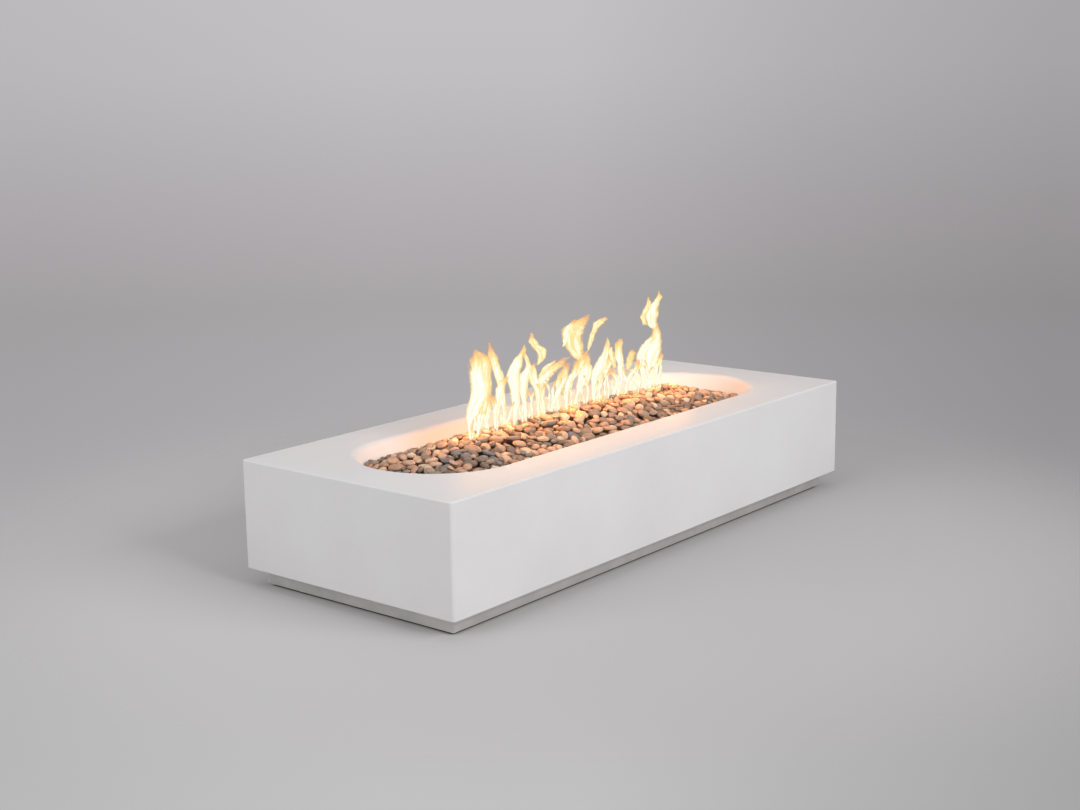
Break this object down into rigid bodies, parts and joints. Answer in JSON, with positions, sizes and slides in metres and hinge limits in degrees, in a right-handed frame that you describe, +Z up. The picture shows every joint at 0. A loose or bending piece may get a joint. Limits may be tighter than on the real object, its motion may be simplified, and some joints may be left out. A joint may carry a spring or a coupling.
{
  "type": "fire pit table",
  "caption": "Long low concrete table with an oblong bowl of river pebbles over a straight gas burner, on a set-back steel plinth with levelling feet.",
  "frame": {"origin": "middle of the footprint, on the floor under the feet", "axes": "+X along the table's length, +Y across it towards the side with the controls, +Z up"},
  "size_m": [1.83, 0.735, 0.3652],
  "materials": {
    "black_plastic": "moulded, satin",
    "black_rubber": "matt",
    "braided_hose": "stainless braid",
    "brass": "machined",
    "cable_sleeve": "silicone sleeve, satin",
    "cast_fitting": "black malleable iron",
    "concrete": "smooth cast glass-fibre concrete, sealed, matt",
    "copper_tip": "copper",
    "electrode_alloy": "heat-dulled wire",
    "foot_plastic": "moulded rubber, matt",
    "frame_steel": "black powder coat",
    "grey_gasket": "fibre sheet, matt",
    "igniter_metal": "polished",
    "knob_metal": "satin",
    "lava_rock": "rough porous gravel",
    "pebble_brown": "smooth river pebble, satin",
    "pebble_buff": "smooth river pebble, satin",
    "pebble_grey": "smooth river pebble, satin",
    "plinth_steel": "brushed stainless sheet",
    "stainless": "brushed stainless",
    "valve_alloy": "die-cast, matt",
    "white_ceramic": "glazed",
    "zinc_steel": "bright zinc plate"
  },
  "bodies": {
    "root": {"air_mixer": "brass", "body_bolts": "zinc_steel", "body_inserts": "zinc_steel", "bolt_washers": "zinc_steel", "burner_caps": "stainless", "burner_hose": "braided_hose", "burner_inlet": "zinc_steel", "burner_pan": "stainless", "burner_saddles": "stainless", "burner_tube": "stainless", "concrete_body": "concrete", "control_niche": "stainless", "cross_members": "frame_steel", "drain_spout": "stainless", "electrode_wire": "electrode_alloy", "foot_gussets": "frame_steel", "foot_nuts": "zinc_steel", "gas_inlet": "brass", "gas_inlet_nut": "brass", "gas_orifice": "brass", "gas_valve": "valve_alloy", "igniter_barrel": "igniter_metal", "igniter_nut": "zinc_steel", "ignition_bracket": "stainless", "inlet_elbow": "cast_fitting", "inlet_nuts": "zinc_steel", "isolation_strips": "black_rubber", "lava_bed": "lava_rock", "niche_gasket": "grey_gasket", "niche_screws": "stainless", "pan_gasket": "grey_gasket", "pan_screws": "stainless", "pebbles_brown": "pebble_brown", "pebbles_buff": "pebble_buff", "pebbles_grey": "pebble_grey", "plinth_front": "plinth_steel", "plinth_left": "plinth_steel", "plinth_rear": "plinth_steel", "plinth_right": "plinth_steel", "spark_cable": "cable_sleeve", "spark_electrode": "white_ceramic", "supply_hose": "braided_hose", "thermocouple": "copper_tip", "thermocouple_lead": "copper_tip", "valve_nut": "brass"},
    "knob_slide_body": {"thrust_collar": "brass"},
    "knob_turn_body": {"control_knob": "knob_metal", "valve_stem": "brass"},
    "igniter_button_body": {"igniter_button": "black_plastic"},
    "foot_pad_body_1": {"foot_pad_1": "foot_plastic"},
    "foot_stud_body_1": {"foot_stud_1": "zinc_steel"},
    "foot_pad_body_2": {"foot_pad_2": "foot_plastic"},
    "foot_stud_body_2": {"foot_stud_2": "zinc_steel"},
    "foot_pad_body_3": {"foot_pad_3": "foot_plastic"},
    "foot_stud_body_3": {"foot_stud_3": "zinc_steel"},
    "foot_pad_body_4": {"foot_pad_4": "foot_plastic"},
    "foot_stud_body_4": {"foot_stud_4": "zinc_steel"}
  },
  "joints": [
    {"name": "knob_push", "type": "slide", "parent": "root", "child": "knob_slide_body", "axis": [0, -1, 0], "range_m": [0, 0.005], "stiffness_N_per_m": 1500, "springref_m": -0.003},
    {"name": "knob_turn", "type": "hinge", "parent": "knob_slide_body", "child": "knob_turn_body", "pos_m": [-0.518, 0.345, 0.175], "axis": [0, 1, 0], "range_deg": [0, 150]},
    {"name": "igniter_push", "type": "slide", "parent": "root", "child": "igniter_button_body", "axis": [0, -1, 0], "range_m": [0, 0.005], "stiffness_N_per_m": 1200, "springref_m": -0.002},
    {"name": "foot_1_travel", "type": "slide", "parent": "root", "child": "foot_pad_body_1", "axis": [0, 0, -1], "range_m": [0, 0.02]},
    {"name": "foot_1_turn", "type": "hinge", "parent": "foot_pad_body_1", "child": "foot_stud_body_1", "pos_m": [-0.807, -0.2595, 0.01], "axis": [0, 0, -1], "range_deg": [-180, 4320]},
    {"name": "foot_2_travel", "type": "slide", "parent": "root", "child": "foot_pad_body_2", "axis": [0, 0, -1], "range_m": [0, 0.02]},
    {"name": "foot_2_turn", "type": "hinge", "parent": "foot_pad_body_2", "child": "foot_stud_body_2", "pos_m": [0.807, -0.2595, 0.01], "axis": [0, 0, -1], "range_deg": [-180, 4320]},
    {"name": "foot_3_travel", "type": "slide", "parent": "root", "child": "foot_pad_body_3", "axis": [0, 0, -1], "range_m": [0, 0.02]},
    {"name": "foot_3_turn", "type": "hinge", "parent": "foot_pad_body_3", "child": "foot_stud_body_3", "pos_m": [0.807, 0.2595, 0.01], "axis": [0, 0, -1], "range_deg": [-180, 4320]},
    {"name": "foot_4_travel", "type": "slide", "parent": "root", "child": "foot_pad_body_4", "axis": [0, 0, -1], "range_m": [0, 0.02]},
    {"name": "foot_4_turn", "type": "hinge", "parent": "foot_pad_body_4", "child": "foot_stud_body_4", "pos_m": [-0.807, 0.2595, 0.01], "axis": [0, 0, -1], "range_deg": [-180, 4320]}
  ],
  "couplings": [
    {"joint": "foot_1_turn", "follows": "foot_1_travel", "rad_per_m": 3590.4},
    {"joint": "foot_2_turn", "follows": "foot_2_travel", "rad_per_m": 3590.4},
    {"joint": "foot_3_turn", "follows": "foot_3_travel", "rad_per_m": 3590.4},
    {"joint": "foot_4_turn", "follows": "foot_4_travel", "rad_per_m": 3590.4}
  ]
}
